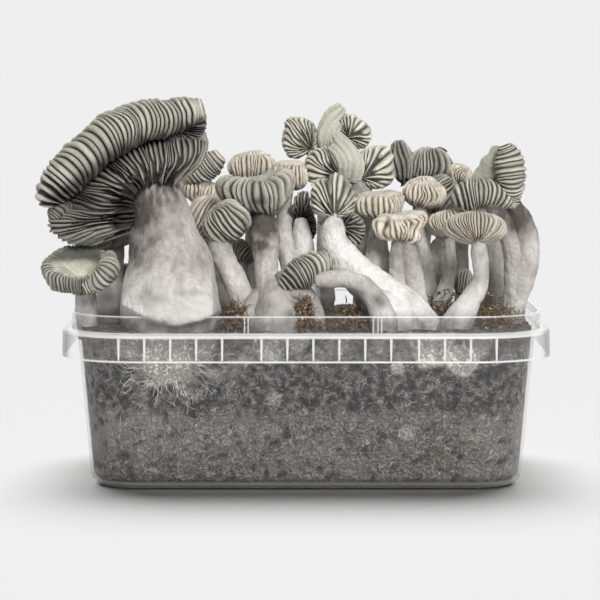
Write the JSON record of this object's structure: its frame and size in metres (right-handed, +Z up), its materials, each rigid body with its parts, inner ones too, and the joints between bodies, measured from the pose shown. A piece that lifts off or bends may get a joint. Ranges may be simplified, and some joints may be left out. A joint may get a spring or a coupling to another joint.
{
  "type": "mushroom grow kit",
  "caption": "Clear open plastic tub full of grown-through substrate, with a flush of folded gilled mushrooms on thick white stems.",
  "frame": {"origin": "middle of the tub's base, on the surface that it stands on", "axes": "+X along the tub's long side, +Y from the pictured front to the back, +Z up"},
  "size_m": [0.2035, 0.1288, 0.1523],
  "materials": {
    "tub_plastic": "clear moulded polypropylene, slightly milky, smooth with mould marks",
    "substrate": "wet crumbly soil and straw webbed with white mycelium threads, rough",
    "stem_flesh": "matt fibrous fungus flesh, off-white with grey-brown bruises",
    "gills_grey": "matt gill plates, sage grey edges over charcoal grooves",
    "gills_cream": "matt gill plates, cream edges over brown-grey grooves",
    "gills_dark": "matt gill plates, dark grey-violet with pale edges"
  },
  "bodies": {
    "root": {"tub": "tub_plastic", "substrate": "substrate", "giant_stem": "stem_flesh", "giant_cap": "gills_grey", "left_rear_stem": "stem_flesh", "left_rear_cap": "gills_grey", "open_cup_stem": "stem_flesh", "open_cup_cap": "gills_grey", "tucked_stem": "stem_flesh", "tucked_cap": "gills_dark", "peeping_stem": "stem_flesh", "peeping_cap": "gills_grey", "pale_left_stem": "stem_flesh", "pale_left_cap": "gills_cream", "buff_stem": "stem_flesh", "buff_cap": "gills_cream", "striped_stem": "stem_flesh", "striped_cap": "gills_grey", "centre_stem": "stem_flesh", "centre_cap": "gills_grey", "pumpkin_stem": "stem_flesh", "pumpkin_cap": "gills_cream", "button_stem": "stem_flesh", "button_cap": "gills_cream", "star_stem": "stem_flesh", "star_cap": "gills_dark", "egg_stem": "stem_flesh", "egg_cap": "gills_grey", "arched_stem": "stem_flesh", "arched_cap": "gills_grey", "fan_rear_stem": "stem_flesh", "fan_rear_cap": "gills_grey", "fan_front_stem": "stem_flesh", "fan_front_cap": "gills_grey", "dusky_stem": "stem_flesh", "dusky_cap": "gills_dark", "cream_rear_stem": "stem_flesh", "cream_rear_cap": "gills_cream", "dark_rear_stem": "stem_flesh", "dark_rear_cap": "gills_dark", "cream_left_stem": "stem_flesh", "cream_left_cap": "gills_cream", "cream_tall_stem": "stem_flesh", "cream_tall_cap": "gills_cream", "white_button_stem": "stem_flesh", "white_button_cap": "gills_cream", "parasol_stem": "stem_flesh", "parasol_cap": "gills_cream", "slim_stem": "stem_flesh", "slim_cap": "gills_cream", "ear_stem": "stem_flesh", "ear_cap": "gills_grey", "pale_rear_stem": "stem_flesh", "pale_rear_cap": "gills_cream", "sprout_stem": "stem_flesh", "sprout_cap": "gills_grey", "wart": "stem_flesh"}
  },
  "joints": []
}
